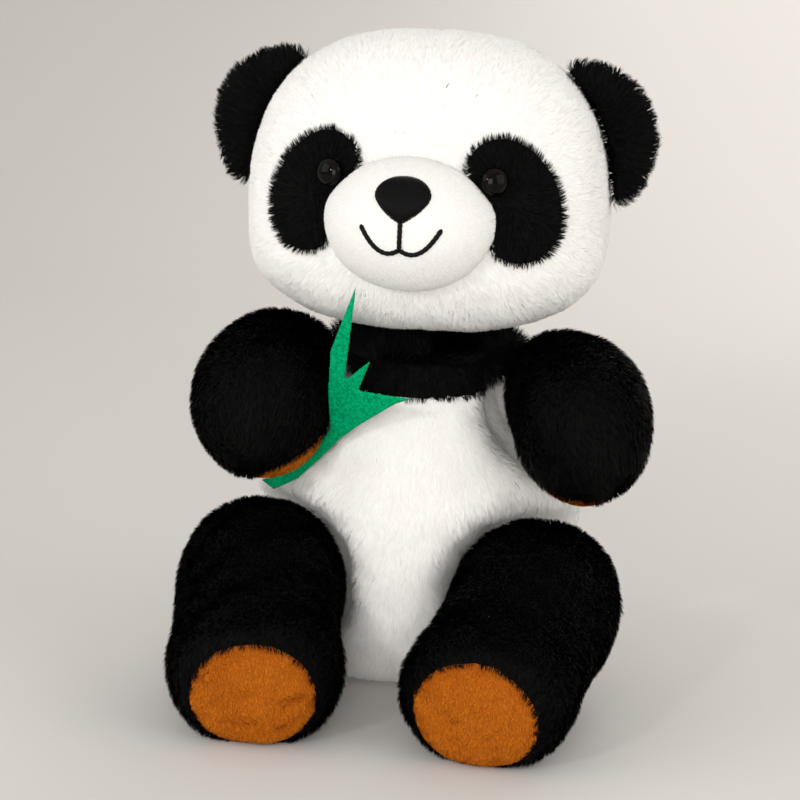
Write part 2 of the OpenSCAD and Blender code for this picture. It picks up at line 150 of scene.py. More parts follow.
# %% Floor, world and lamps
floor_mesh = bpy.data.meshes.new("floor")
REACH, TURN, WALL = 12.0, 1.2, 4.0
bend = [math.radians(a) for a in range(0, 91, 6)]
profile = [(-REACH, 0.0)]
profile += [(TURN + TURN * math.sin(a), TURN - TURN * math.cos(a)) for a in bend]
profile += [(2 * TURN, WALL)]
floor_mesh.from_pydata(
    [(x, y, z) for y, z in profile for x in (-REACH, REACH)],
    [],
    [(2 * i, 2 * i + 1, 2 * i + 3, 2 * i + 2) for i in range(len(profile) - 1)],
)
floor_mesh.polygons.foreach_set("use_smooth", [True] * len(floor_mesh.polygons))
floor = bpy.data.objects.new("floor", floor_mesh)
floor_mesh.materials.append(material("floor", (0.70, 0.68, 0.655), 0.7))
scene.collection.objects.link(floor)

world = bpy.data.worlds.new("world")
world.use_nodes = True
world.node_tree.nodes["Background"].inputs["Color"].default_value = (0.62, 0.6, 0.58, 1)
world.node_tree.nodes["Background"].inputs["Strength"].default_value = 0.95
scene.world = world
scene.view_settings.view_transform = "Standard"


def lamp(name, place, size, power, color):
    light = bpy.data.objects.new(name, bpy.data.lights.new(name, "AREA"))
    light.data.size = size
    light.data.energy = power
    light.data.color = color
    light.location = place
    light.rotation_mode = "QUATERNION"
    light.rotation_quaternion = (TARGET - Vector(place)).to_track_quat("-Z", "Y")
    light.visible_camera = False
    scene.collection.objects.link(light)


lamp("key", (-1.6, -1.0, 1.0), 1.4, 9, (1.0, 0.99, 0.97))
lamp("fill", (1.7, -0.8, 0.8), 1.6, 10, (1.0, 0.98, 0.95))
lamp("low", (0.1, -1.7, 0.45), 0.8, 10, (1.0, 0.98, 0.95))
lamp("catch", (-0.5, -1.3, 0.7), 0.12, 3, (1.0, 1.0, 1.0))
lamp("back", (0.5, 1.7, 1.0), 1.6, 12, (1.0, 0.97, 0.93))


# %% [markdown]
# ## Puffed forms
#
# A form starts as its panels and stuffing together, voxel remeshed into one
# closed skin. Where two panels meet there is a seam. The cloth is pinned there
# and blown up everywhere else, so the seams stay as soft valleys.

# %% Meshes and arrays
def new_piece(name, mesh):
    piece = bpy.data.objects.new(name, mesh)
    scene.collection.objects.link(piece)
    return piece


def points_of(mesh):
    co = np.empty(len(mesh.vertices) * 3)
    mesh.vertices.foreach_get("co", co)
    return co.reshape(-1, 3)


def set_points(mesh, co):
    mesh.vertices.foreach_set("co", np.asarray(co, float).ravel())
    mesh.update()


def normals_of(mesh):
    n = np.empty(len(mesh.vertices) * 3)
    mesh.vertex_normals.foreach_get("vector", n)
    return n.reshape(-1, 3)


def unit(v):
    return v / np.maximum(np.linalg.norm(v, axis=-1, keepdims=True), 1e-9)


def tree_of(mesh):
    return BVHTree.FromPolygons(
        [v.co for v in mesh.vertices], [tuple(p.vertices) for p in mesh.polygons]
    )


def drift(p, size, seed):
    """A smooth random vector at each point, changing over about that size."""
    r = np.random.default_rng(seed)
    out = np.zeros_like(p)
    for octave in range(5):
        k = r.normal(size=3) * 2 * np.pi / size
        out += np.sin(p @ k + r.uniform(0, 2 * np.pi))[:, None] * r.normal(size=3)
    return out / 2.5


def only_modifier(piece, kind, **settings):
    m = piece.modifiers.new("m", kind)
    for key, value in settings.items():
        setattr(m, key, value)
    graph = bpy.context.evaluated_depsgraph_get()
    made = bpy.data.meshes.new_from_object(piece.evaluated_get(graph))
    piece.modifiers.clear()
    piece.data = made
    return piece


def joined(name, names):
    """A new piece holding copies of these CAD nodes."""
    vertices, faces = [], []
    for n in names:
        start = len(vertices)
        mesh = nodes[n].data
        vertices += [v.co[:] for v in mesh.vertices]
        faces += [tuple(start + i for i in p.vertices) for p in mesh.polygons]
    mesh = bpy.data.meshes.new(name)
    mesh.from_pydata(vertices, [], faces)
    return new_piece(name, mesh)


FRAMES = 20
PRESSURE = 4.0
SEAM_REACH = 3.2 * MM
FLOOR_GAP = 0.3 * MM
LOFT = 0.4 * MM


def seam_weights(piece, panels):
    """1 at the vertices that lie near two panels at once, 0 elsewhere."""
    trees = [tree_of(nodes[p].data) for p in panels]
    near = np.zeros(len(piece.data.vertices))
    for i, v in enumerate(piece.data.vertices):
        near[i] = sum(t.find_nearest(v.co, SEAM_REACH)[0] is not None for t in trees)
    return (near > 1).astype(float)


def blow_up(piece, seams, cap):
    """Puffs the piece like a filled cloth bag, held at its seams.

    No point moves more than cap.
    """
    group = piece.vertex_groups.new(name="seams")
    group.add([int(i) for i in np.flatnonzero(seams)], 1.0, "REPLACE")
    rest = points_of(piece.data)
    cloth = piece.modifiers.new("cloth", "CLOTH")
    cloth.settings.use_pressure = True
    cloth.settings.uniform_pressure_force = PRESSURE
    cloth.settings.effector_weights.gravity = 0
    cloth.settings.vertex_group_mass = "seams"
    cloth.point_cache.frame_start, cloth.point_cache.frame_end = 1, FRAMES
    for f in range(1, FRAMES + 1):
        scene.frame_set(f)
    graph = bpy.context.evaluated_depsgraph_get()
    blown = points_of(piece.evaluated_get(graph).data)
    piece.modifiers.clear()
    scene.frame_set(1)
    move = blown - rest
    far = np.linalg.norm(move, axis=1, keepdims=True)
    set_points(piece.data, rest + move * np.minimum(1, cap / np.maximum(far, 1e-9)))


def stuffed(name, panels, inside, voxel, start, cap, groove, dent=0.5 * MM, seed=1):
    """A puffed form around those panels.

    It is shrunk by start, blown up by at most cap, and drawn in by groove at its
    seams. Lumps of the height dent make it less even.
    """
    piece = joined(name, [*panels, *inside])
    only_modifier(piece, "REMESH", mode="VOXEL", voxel_size=voxel)
    cut = points_of(piece.data)
    only_modifier(piece, "SMOOTH", factor=0.5, iterations=4)
    seams, out = seam_weights(piece, panels), normals_of(piece.data)
    set_points(piece.data, points_of(piece.data) - out * start)
    blow_up(piece, seams, cap)
    only_modifier(piece, "SMOOTH", factor=0.5, iterations=3)
    lost = ((cut - points_of(piece.data)) * out).sum(1).mean()
    set_points(piece.data, points_of(piece.data) + out * (lost + LOFT))
    valley = points_of(piece.data) - normals_of(piece.data) * seams[:, None] * groove
    set_points(piece.data, valley)
    only_modifier(piece, "SUBSURF", levels=1)
    p = points_of(piece.data)
    lumps = drift(p, 45 * MM, seed)[:, :1] * dent
    set_points(piece.data, p + normals_of(piece.data) * lumps)
    p = points_of(piece.data)
    p[:, 2] = np.maximum(p[:, 2], FLOOR_GAP)
    set_points(piece.data, p)
    piece.data.polygons.foreach_set("use_smooth", [True] * len(piece.data.polygons))
    print(name, "faces", len(piece.data.polygons), "seam points", int(seams.sum()))
    return piece


# %% Head, torso, tail
head = stuffed(
    "head_plush",
    ["face_panel_right", "face_panel_left", "head_back_right", "head_back_left"],
    ["head_stuffing"],
    voxel=5 * MM,
    start=2.2 * MM,
    cap=3.4 * MM,
    groove=0.8 * MM,
    seed=3,
)
torso = stuffed(
    "torso_plush",
    [
        "belly_panel_right",
        "belly_panel_left",
        "back_panel_right",
        "back_panel_left",
        "chest_band",
        "shoulder_band",
        "seat_panel",
    ],
    ["torso_stuffing"],
    voxel=5 * MM,
    start=2.2 * MM,
    cap=3.4 * MM,
    groove=0.8 * MM,
    seed=4,
)
tail = stuffed(
    "tail_plush", ["tail"], [], voxel=2.5 * MM, start=0, cap=1 * MM, groove=0, seed=5
)

neck = joined("neck_plush", ["neck_stuffing"])
only_modifier(neck, "REMESH", mode="VOXEL", voxel_size=3 * MM)
only_modifier(neck, "SUBSURF", levels=1)

# %% Arms, legs and ears
arms, legs, ears = {}, {}, {}
for seed, side in enumerate(SIDES):
    arms[side] = stuffed(
        f"arm_plush_{side}",
        [f"arm_outer_{side}", f"arm_inner_{side}", f"palm_pad_{side}"],
        [f"arm_stuffing_{side}"],
        voxel=4.5 * MM,
        start=2.0 * MM,
        cap=3.0 * MM,
        groove=0.8 * MM,
        seed=10 + seed,
    )
    legs[side] = stuffed(
        f"leg_plush_{side}",
        [f"leg_outer_{side}", f"leg_inner_{side}", f"sole_{side}"],
        [f"leg_stuffing_{side}"],
        voxel=5 * MM,
        start=2.0 * MM,
        cap=3.2 * MM,
        groove=0.8 * MM,
        seed=20 + seed,
    )
    ears[side] = stuffed(
        f"ear_plush_{side}",
        [f"ear_front_{side}", f"ear_back_{side}"],
        [],
        voxel=2.6 * MM,
        start=0.6 * MM,
        cap=1.6 * MM,
        groove=0.3 * MM,
        seed=30 + seed,
    )


# %% [markdown]
# ## Panels laid over the forms
#
# Eye patches, soles and palm pads are cut pieces that lie on a stuffed form. Each takes
# the outline of its CAD node, and rays put a fine disc of cloth on the form under it,
# slightly pillowed.

# %% Laid panels
class Outline:
    """The outline of a CAD node seen square on, and how far out of it a point is."""

    def __init__(self, node, centre_of_form):
        p = points_of(nodes[node].data)
        self.centre = (p.max(0) + p.min(0)) / 2
        _, axes = np.linalg.eigh(np.cov((p - p.mean(0)).T))
        facing = axes[:, 0]
        if (p.mean(0) - centre_of_form) @ facing < 0:
            facing = -facing
        self.facing = facing
        self.across = unit(np.cross((0, 0, 1), facing))
        self.rise = np.cross(facing, self.across)
        flat = self.flat(p)
        self.hull = flat[convex_hull_2d([Vector(q) for q in flat])]
        self.middle = (self.hull.max(0) + self.hull.min(0)) / 2

    def flat(self, p):
        d = p - self.centre
        return np.stack([d @ self.across, d @ self.rise], -1)

    def radius(self, angle):
        """The distance from the middle to the outline in each direction."""
        way = np.stack([np.cos(angle), np.sin(angle)], -1)
        a = self.hull - self.middle
        b = np.roll(a, -1, 0)
        best = np.full(len(way), 1e9)
        for s, e in zip(a, b):
            d = e - s
            cross = way[:, 0] * d[1] - way[:, 1] * d[0]
            safe = np.where(abs(cross) < 1e-12, 1e-12, cross)
            t = (s[0] * d[1] - s[1] * d[0]) / safe
            u = (s[0] * way[:, 1] - s[1] * way[:, 0]) / safe
            hit = (t > 0) & (u >= -1e-6) & (u <= 1 + 1e-6)
            best = np.where(hit, np.minimum(best, t), best)
        return best

    def share(self, p):
        """0 at the middle of the outline, 1 on it, more outside."""
        q = self.flat(p) - self.middle
        return np.hypot(*q.T) / self.radius(np.arctan2(q[:, 1], q[:, 0]))

    def covers(self, p, within, deep):
        front = (p - self.centre) @ self.facing > -deep
        return (self.share(p) < within) & front


RINGS, SECTORS = 22, 96
RAY = 0.2
LIFT = 0.2 * MM


def laid(name, outline, form, finish, rise, dents=0.0):
    """A disc of cloth on the form with that outline, pillowed by rise."""
    tree = tree_of(form.data)
    angle = np.linspace(0, 2 * np.pi, SECTORS, endpoint=False)
    radius = outline.radius(angle)
    away = Vector(outline.facing) * RAY
    vertices = []
    for k in range(RINGS + 1):
        s = k / RINGS
        for a, r in zip(angle, radius):
            q = outline.middle + np.array([math.cos(a), math.sin(a)]) * r * s
            at = outline.centre + outline.across * q[0] + outline.rise * q[1]
            hit, normal, _, _ = tree.ray_cast(Vector(at) + away, -away)
            if hit is None:
                hit, normal, _, _ = tree.find_nearest(Vector(at))
            vertices.append(hit + normal * (rise * (1 - s**6) + LIFT))
    faces = [
        (
            k * SECTORS + i,
            (k + 1) * SECTORS + i,
            (k + 1) * SECTORS + (i + 1) % SECTORS,
            k * SECTORS + (i + 1) % SECTORS,
        )
        for k in range(RINGS)
        for i in range(SECTORS)
    ]
    mesh = bpy.data.meshes.new(name)
    mesh.from_pydata(vertices, [], faces)
    piece = new_piece(name, mesh)
    only_modifier(piece, "WELD", merge_threshold=0.02 * MM)
    if dents:
        p = points_of(piece.data)
        lumps = drift(p, 26 * MM, len(name))[:, :1] * dents
        set_points(piece.data, p + lumps * outline.facing)
    only_modifier(piece, "SMOOTH", factor=0.5, iterations=6)
    piece.data.polygons.foreach_set("use_smooth", [True] * len(piece.data.polygons))
    piece.data.materials.append(finish)
    if np.mean(normals_of(piece.data) @ outline.facing) < 0:
        piece.data.flip_normals()
    return piece


middle = {f.name: points_of(f.data).mean(0) for f in bpy.data.objects if f.type == "MESH"}
patch_line, sole_line, palm_line = {}, {}, {}
patches, soles, palms = {}, {}, {}
for side in SIDES:
    patch_line[side] = Outline(f"eye_patch_{side}", middle["head_plush"])
    patches[side] = laid(
        f"eye_patch_plush_{side}", patch_line[side], head, black_cloth, 0.8 * MM
    )
    sole_line[side] = Outline(f"sole_{side}", middle[f"leg_plush_{side}"])
    soles[side] = laid(
        f"sole_plush_{side}",
        sole_line[side],
        legs[side],
        brown_cloth,
        2.0 * MM,
        dents=0.8 * MM,
    )
    palm_line[side] = Outline(f"palm_pad_{side}", middle[f"arm_plush_{side}"])
    palms[side] = laid(
        f"palm_plush_{side}", palm_line[side], arms[side], brown_cloth, 1.2 * MM
    )
    print(side, "sole faces", sole_line[side].facing.round(2))

# %% [markdown]
# ## Snout, nose, mouth and eyes
#
# The snout is a stuffed dome of short-napped cloth. The nose is a pad covered
# with satin stitches, and the mouth is a row of chain stitches.

# %% Snout
snout = stuffed(
    "snout_plush",
    ["snout_skin"],
    ["snout_stuffing"],
    voxel=2.5 * MM,
    start=0.8 * MM,
    cap=1.4 * MM,
    groove=0,
    dent=0.3 * MM,
    seed=7,
)
snout_tree = tree_of(snout.data)
SNOUT_LOW, SNOUT_HIGH = (np.array(c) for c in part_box("snout_skin"))


def on_snout(x, z, lift):
    """The place on the snout seen from the front at x, z, lifted off it."""
    hit, normal, _, _ = snout_tree.ray_cast(Vector((x, -0.5, z)), Vector((0, 1, 0)))
    return np.array(hit + normal * lift)


# %% Threads
def tube(paths, radii, name, finish, around=8):
    """One mesh of threads, each along its own path, with a radius at each point."""
    vertices, faces = [], []
    for path, radius in zip(paths, radii):
        path = np.array(path)
        ahead = unit(np.gradient(path, axis=0))
        side_way = unit(np.cross(ahead, (0.3, -1, 0.2)))
        up_way = np.cross(ahead, side_way)
        start = len(vertices)
        for p, s, u, r in zip(path, side_way, up_way, radius):
            for k in range(around):
                a = 2 * math.pi * k / around
                vertices.append(p + r * (math.cos(a) * s + math.sin(a) * u))
        for i in range(len(path) - 1):
            for k in range(around):
                n = (k + 1) % around
                a, b = start + i * around, start + (i + 1) * around
                faces.append((a + k, a + n, b + n, b + k))
        end = start + (len(path) - 1) * around
        faces.append(tuple(start + k for k in reversed(range(around))))
        faces.append(tuple(end + k for k in range(around)))
    mesh = bpy.data.meshes.new(name)
    mesh.from_pydata(vertices, [], faces)
    mesh.materials.append(finish)
    mesh.polygons.foreach_set("use_smooth", [True] * len(mesh.polygons))
    return new_piece(name, mesh)


# %% Satin-stitched nose
nose_low, nose_high = (np.array(c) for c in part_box("nose"))
STITCH = 0.62 * MM
STITCH_RADIUS = STITCH * 0.62
NOSE_RISE = 3.0 * MM
NOSE_WIDEST = 0.43
half = (nose_high - nose_low) / 2


def nose_height(x):
    """The lower and upper end of the stitch at x.

    The nose is wide and round above, and drawn to a soft point below.
    """
    s = min(abs(x) / half[0], 1.0)
    widest = nose_high[2] - NOSE_WIDEST * (nose_high[2] - nose_low[2])
    low = widest - (widest - nose_low[2]) * (1 - s**1.15) ** 0.66
    return low, widest + (nose_high[2] - widest) * math.sqrt(1 - s**2.2)


stitches, widths = [], []
for x in np.arange(-half[0] + STITCH / 2, half[0], STITCH):
    low, high = nose_height(x)
    if high - low < 2 * STITCH:
        continue
    path = []
    for z in np.linspace(low, high, 14):
        t = (z - low) / (high - low)
        s = abs(x) / half[0]
        bulge = (1 - (2 * t - 1) ** 4) * math.sqrt(max(1 - s**4, 0))
        path.append(on_snout(x, z, -0.1 * MM + NOSE_RISE * bulge))
    stitches.append(path)
    widths.append([STITCH_RADIUS] * len(path))
nose = tube(stitches, widths, "nose_satin", thread_black, around=6)
print("nose stitches", len(stitches))

# %% Chain-stitched mouth
mouth_low, mouth_high = (np.array(c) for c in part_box("mouth_thread"))
MOUTH_HALF = (mouth_high[0] - mouth_low[0]) / 2 - 0.9 * MM
MOUTH_Z = 242.5 * MM
LIP_FALL, LIP_CURVE = 0.75, 65
LINK = 2.6 * MM
LINK_RADIUS, LINK_SWELL = 1.0 * MM, 0.28 * MM
INTO_NOSE = 1.2 * MM


def lip(x):
    """The height of the mouth line, two smiling curves that meet in the middle."""
    return MOUTH_Z - LIP_FALL * abs(x) + LIP_CURVE * x * x


def stitch_line(flat):
    """Chain stitches on the snout, each of which swells in its middle."""
    p = np.array([on_snout(x, z, 0.45 * MM) for x, z in flat])
    far = np.r_[0, np.cumsum(np.linalg.norm(np.diff(p, axis=0), axis=1))]
    s = np.linspace(0, far[-1], max(int(far[-1] / (0.25 * MM)), 4))
    path = np.stack([np.interp(s, far, p[:, i]) for i in range(3)], -1)
    radius = LINK_RADIUS + LINK_SWELL * abs(np.sin(np.pi * s / LINK)) ** 0.6
    from_end = np.minimum(s, far[-1] - s) / MM
    return path, radius * np.sqrt(np.clip(from_end, 0.1, 1))


nose_bottom = nose_height(0)[0]
lines = [
    [(x, lip(x)) for x in np.linspace(0, MOUTH_HALF, 30)],
    [(-x, lip(x)) for x in np.linspace(0, MOUTH_HALF, 30)],
    [(0, z) for z in np.linspace(lip(0), nose_bottom + INTO_NOSE, 14)],
]
paths, radii = zip(*[stitch_line(line) for line in lines])
mouth = tube(paths, radii, "mouth_chain", thread_black)

# %% [markdown]
# Each eye is a flattened dome of glossy plastic. It faces the way its patch does,
# at the place of its CAD node.

# %% Eyes
IRIS, PUPIL = (0.006, 0.002, 0.001), (0.0005, 0.0005, 0.0005)
EYE_RADIUS = 7 * MM
EYE_FLATNESS = 0.62
EYE_DEPTH = 4.2 * MM


def eye_finish(name, centre, look):
    """Glossy plastic, dark in the middle, with a barely brown ring round that.

    The ring is placed by the distance from the line through the centre along look.
    """
    m = material(name, PUPIL, 0.03, specular=0.12)
    tree = m.node_tree
    where = tree.nodes.new("ShaderNodeTexCoord")
    cross = tree.nodes.new("ShaderNodeVectorMath")
    cross.operation = "CROSS_PRODUCT"
    move = tree.nodes.new("ShaderNodeVectorMath")
    move.operation = "SUBTRACT"
    move.inputs[1].default_value = centre
    cross.inputs[1].default_value = look
    far = tree.nodes.new("ShaderNodeVectorMath")
    far.operation = "LENGTH"
    ramp = tree.nodes.new("ShaderNodeValToRGB")
    scale = tree.nodes.new("ShaderNodeMath")
    scale.operation = "MULTIPLY"
    scale.inputs[1].default_value = 1 / EYE_RADIUS
    ramp.color_ramp.elements[0].position = 0.62
    ramp.color_ramp.elements[0].color = (*PUPIL, 1)
    ramp.color_ramp.elements[1].position = 0.72
    ramp.color_ramp.elements[1].color = (*IRIS, 1)
    rim = ramp.color_ramp.elements.new(0.97)
    rim.color = (*PUPIL, 1)
    link = tree.links.new
    link(where.outputs["Object"], move.inputs[0])
    link(move.outputs[0], cross.inputs[0])
    link(cross.outputs[0], far.inputs[0])
    link(far.outputs["Value"], scale.inputs[0])
    link(scale.outputs[0], ramp.inputs[0])
    link(ramp.outputs["Color"], tree.nodes["Principled BSDF"].inputs["Base Color"])
    return m


eyes = {}
for side in SIDES:
    p = points_of(nodes[f"eye_{side}"].data)
    look = unit(patch_line[side].facing)
    front = p[(p @ look) > (p @ look).max() - 0.5 * MM].mean(0)
    centre = front - look * EYE_DEPTH
    bpy.ops.mesh.primitive_uv_sphere_add(segments=64, ring_count=32, radius=EYE_RADIUS)
    eye = bpy.context.object
    eye.name = f"eye_dome_{side}"
    eye.scale = (1, 1, EYE_FLATNESS)
    eye.rotation_mode = "QUATERNION"
    eye.rotation_quaternion = Vector(look).to_track_quat("Z", "Y")
    eye.location = centre
    bpy.context.view_layer.update()
    eye.data.transform(eye.matrix_world)
    eye.matrix_world.identity()
    eye.data.polygons.foreach_set("use_smooth", [True] * len(eye.data.polygons))
    eye.data.materials.append(eye_finish(f"eye_plastic_{side}", centre, look))
    eyes[side] = eye
    print(side, "eye front at", (front / MM).round(1))


# %% [markdown]
# ## Pile
#
# Each blade of pile is a tapered strip of two segments. It rises off the cloth,
# lies over in the combed direction, and its tip is drawn toward the others of
# its tuft. Its normals are mostly those of the cloth, so light falls softly on it.

# %% Growing pile
RISE_SLOPE, TIP_SLOPE = 0.45, 1.5
RISE_PART, TIP_PART = 0.45, 0.62
ROOT_DEPTH = 0.4 * MM
TAPER = 0.8
SHADE_LEAN = 0.2


def scatter(form, count, rng):
    """Random places on a form, even over its area, with the cloth's normal there."""
    mesh = form.data
    mesh.calc_loop_triangles()
    tri = np.empty(len(mesh.loop_triangles) * 3, np.int64)
    mesh.loop_triangles.foreach_get("vertices", tri)
    tri = tri.reshape(-1, 3)
    p, n = points_of(mesh), normals_of(mesh)
    a, b, c = p[tri[:, 0]], p[tri[:, 1]], p[tri[:, 2]]
    area = np.linalg.norm(np.cross(b - a, c - a), axis=1) / 2
    pick = np.searchsorted(np.cumsum(area), rng.uniform(0, area.sum(), count))
    pick = np.minimum(pick, len(tri) - 1)
    r1, r2 = np.sqrt(rng.uniform(size=(count, 1))), rng.uniform(size=(count, 1))
    w = (1 - r1, r1 * (1 - r2), r1 * r2)
    place = sum(w[i] * p[tri[pick, i]] for i in range(3))
    normal = unit(sum(w[i] * n[tri[pick, i]] for i in range(3)))
    return place, normal, area.sum()


def along(v, n):
    """The direction v laid flat on the cloth."""
    return unit(v - (v * n).sum(1, keepdims=True) * n)


def pile(
    name,
    forms,
    density,
    length,
    width,
    comb,
    finish,
    keep=None,
    lean=1.0,
    tuft=9,
    pull=0.45,
    wander=0.35,
    swirl=30 * MM,
    softness=0.7,
    seed=1,
    airy=False,
):
    """Pile on the forms, with density blades per square millimetre.

    comb(p) is the way it is combed, and lean how far it lies over. The tips of each
    tuft of blades are drawn together by pull. Airy pile throws no shadow.
    """
    rng = np.random.default_rng(seed)
    roots, normals = [], []
    for form in forms:
        area = scatter(form, 1, np.random.default_rng(0))[2]
        p, n, _ = scatter(form, int(area * 1e6 * density), rng)
        roots.append(p)
        normals.append(n)
    p, n = np.concatenate(roots), np.concatenate(normals)
    if keep is not None:
        kept = keep(p)
        p, n = p[kept], n[kept]
    count = len(p)
    way = along(comb(p) + drift(p, swirl, seed) * wander, n)
    way = along(way + rng.normal(size=(count, 3)) * 0.16, n)
    size = length * rng.uniform(0.72, 1.12, (count, 1))
    slope = lean * rng.uniform(0.85, 1.15, (count, 1))
    rise = unit(n + way * slope * RISE_SLOPE)
    over = unit(n + way * slope * TIP_SLOPE)
    mid = p + rise * size * RISE_PART
    tip = mid + over * size * TIP_PART
    leaders = rng.choice(count, max(count // tuft, 1), replace=False)
    tree = KDTree(len(leaders))
    for i, leader in enumerate(leaders):
        tree.insert(p[leader], i)
    tree.balance()
    own = leaders[[tree.find(q)[1] for q in p]]
    tip += (tip[own] - tip) * pull * rng.uniform(0.5, 1.3, (count, 1))
    mid += (mid[own] - mid) * pull * 0.35
    across = unit(np.cross(way, n) + rng.normal(size=(count, 3)) * 0.35)
    half_width = width / 2 * rng.uniform(0.75, 1.25, (count, 1))
    corners = np.stack(
        [
            p - n * ROOT_DEPTH - across * half_width,
            p - n * ROOT_DEPTH + across * half_width,
            mid + across * half_width * TAPER,
            mid - across * half_width * TAPER,
            tip,
        ],
        1,
    ).reshape(-1, 3)
    corners[:, 2] = np.maximum(corners[:, 2], FLOOR_GAP)
    tilt = rng.normal(size=(count, 3)) * (1 - softness) - way * SHADE_LEAN
    shade = np.repeat(unit(n + tilt), 5, 0)
    mesh = bpy.data.meshes.new(name)
    first = np.arange(count)[:, None] * 5
    corner = (first + np.array([[0, 1, 2, 3, 3, 2, 4]])).ravel()
    mesh.vertices.add(count * 5)
    mesh.loops.add(count * 7)
    mesh.polygons.add(count * 2)
    mesh.vertices.foreach_set("co", corners.ravel())
    mesh.loops.foreach_set("vertex_index", corner)
    starts = (np.arange(count)[:, None] * 7 + np.array([[0, 4]])).ravel()
    mesh.polygons.foreach_set("loop_start", starts)
    tone = rng.choice(len(finish), count, p=[0.5, 0.25, 0.25]).repeat(2)
    for m in finish:
        mesh.materials.append(m)
    mesh.update(calc_edges=True)
    mesh.polygons.foreach_set("material_index", tone.astype(np.int32))
    mesh.polygons.foreach_set("use_smooth", np.ones(count * 2, bool))
    mesh.normals_split_custom_set_from_vertices(shade)
    print(name, "blades", count)
    piece = new_piece(name, mesh)
    piece.visible_shadow = not airy
    return piece


# %% [markdown]
# The pile of the head is combed away from the snout. None grows under the snout,
# under the eye patches, or where the neck is sewn on.

# %% Where pile grows on the head
SNOUT_MIDDLE = (SNOUT_LOW + SNOUT_HIGH) / 2
SNOUT_HALF = (SNOUT_HIGH - SNOUT_LOW) / 2
NECK = np.array((0, -5 * MM, 187 * MM))
NECK_RADIUS, NECK_TOP = 34 * MM, 220 * MM
EYE_HOLE = 6.6 * MM
BEHIND_START, BEHIND_SPAN = -20 * MM, 40 * MM


def under_snout(p, within):
    q = (p - SNOUT_MIDDLE) / SNOUT_HALF
    return (np.hypot(q[:, 0], q[:, 2]) < within) & (p[:, 1] < -40 * MM)


def on_patch(p):
    covered = [patch_line[s].covers(p, 0.97, 30 * MM) for s in SIDES]
    return np.any(covered, axis=0) & (p[:, 1] < -20 * MM)


def near_eye(p):
    centres = [points_of(eyes[s].data).mean(0) for s in SIDES]
    return np.any([np.linalg.norm(p - c, axis=1) < EYE_HOLE for c in centres], axis=0)


def hidden_by_neck(p):
    across = np.hypot(p[:, 0], p[:, 1] - NECK[1])
    return (across < NECK_RADIUS) & (p[:, 2] < NECK_TOP)


def head_comb(p):
    """Away from the snout in front, and straight down behind."""
    d = p - SNOUT_MIDDLE
    d[:, 1] *= 0.6
    d = unit(d)
    d[:, 2] -= 0.35 * (p[:, 2] < 250 * MM)
    behind = np.clip((p[:, 1:2] - BEHIND_START) / BEHIND_SPAN, 0, 1)
    return d * (1 - behind) + np.array((0, 0.3, -1)) * behind


head_piles = []
for side, sign in zip(SIDES, (-1, 1)):
    head_piles.append(
        pile(
            f"head_pile_{side}",
            [head],
            density=1.6,
            length=3.6 * MM,
            width=0.48 * MM,
            comb=head_comb,
            finish=white_pile,
            keep=lambda p, sign=sign: (p[:, 0] * sign >= 0)
            & ~under_snout(p, 0.92)
            & ~on_patch(p)
            & ~hidden_by_neck(p),
            lean=1.7,
            tuft=16,
            pull=0.35,
            softness=0.9,
            seed=40 + sign,
            airy=True,
        )
    )

# %% Eye patches
patch_piles = {}
for side, sign in zip(SIDES, (-1, 1)):
    centre = patch_line[side].centre

    def patch_comb(p, centre=centre):
        d = unit(p - centre)
        d[:, 2] += 0.25
        return d

    patch_piles[side] = pile(
        f"patch_pile_{side}",
        [patches[side]],
        density=2.4,
        length=4.8 * MM,
        width=0.42 * MM,
        comb=patch_comb,
        finish=black_pile,
        keep=lambda p: ~near_eye(p) & ~under_snout(p, 0.93),
        lean=1.2,
        seed=50 + sign,
    )

# %% Ears
ear_piles = {}
for side, sign in zip(SIDES, (-1, 1)):
    base = np.array((sign * 76 * MM, -10 * MM, 301 * MM))
    ear_piles[side] = pile(
        f"ear_pile_{side}",
        [ears[side]],
        density=2.2,
        length=6.5 * MM,
        width=0.42 * MM,
        comb=lambda p, base=base: unit(p - base * (0.9, 1, 0.95)),
        finish=black_pile,
        lean=1.1,
        pull=0.6,
        seed=60 + sign,
    )


# %% [markdown]
# The torso is black above a seam and white below it. Its pile hangs down. Where
# the neck comes out, a ring of longer pile stands up and closes the gap under the
# head.

# %% Torso
BAND_LOW, BAND_RISE = 158, 0.0022


def band_edge(p):
    """The height of the seam under the band, which rises toward the arms."""
    return (BAND_LOW + BAND_RISE * (p[:, 0] / MM) ** 2) * MM


def down(p):
    d = np.zeros_like(p)
    d[:, 2] = -1
    d[:, 0] = p[:, 0] * 2.0
    return d


COLLAR_LENGTH = 11 * MM
COLLAR_LOW = 174 * MM
belly_piles = []
for side, sign in zip(SIDES, (-1, 1)):
    belly_piles.append(
        pile(
            f"belly_pile_{side}",
            [torso],
            density=1.5,
            length=5.2 * MM,
            width=0.45 * MM,
            comb=down,
            finish=white_pile,
            keep=lambda p, sign=sign: (p[:, 0] * sign >= 0)
            & (p[:, 2] < band_edge(p) + 0.5 * MM),
            lean=1.7,
            tuft=16,
            pull=0.4,
            softness=0.9,
            seed=70 + sign,
            airy=True,
        )
    )
band_pile = pile(
    "band_pile",
    [torso],
    density=1.3,
    length=5.5 * MM,
    width=0.45 * MM,
    comb=down,
    finish=black_pile,
    keep=lambda p: p[:, 2] > band_edge(p) - 0.5 * MM,
    lean=1.5,
    seed=72,
)
collar_pile = pile(
    "collar_pile",
    [torso],
    density=1.6,
    length=COLLAR_LENGTH,
    width=0.55 * MM,
    comb=lambda p: (p - NECK) * (1, 0.4, 0),
    finish=black_pile,
    keep=lambda p: p[:, 2] > COLLAR_LOW,
    lean=0.35,
    tuft=12,
    pull=0.3,
    seed=74,
)
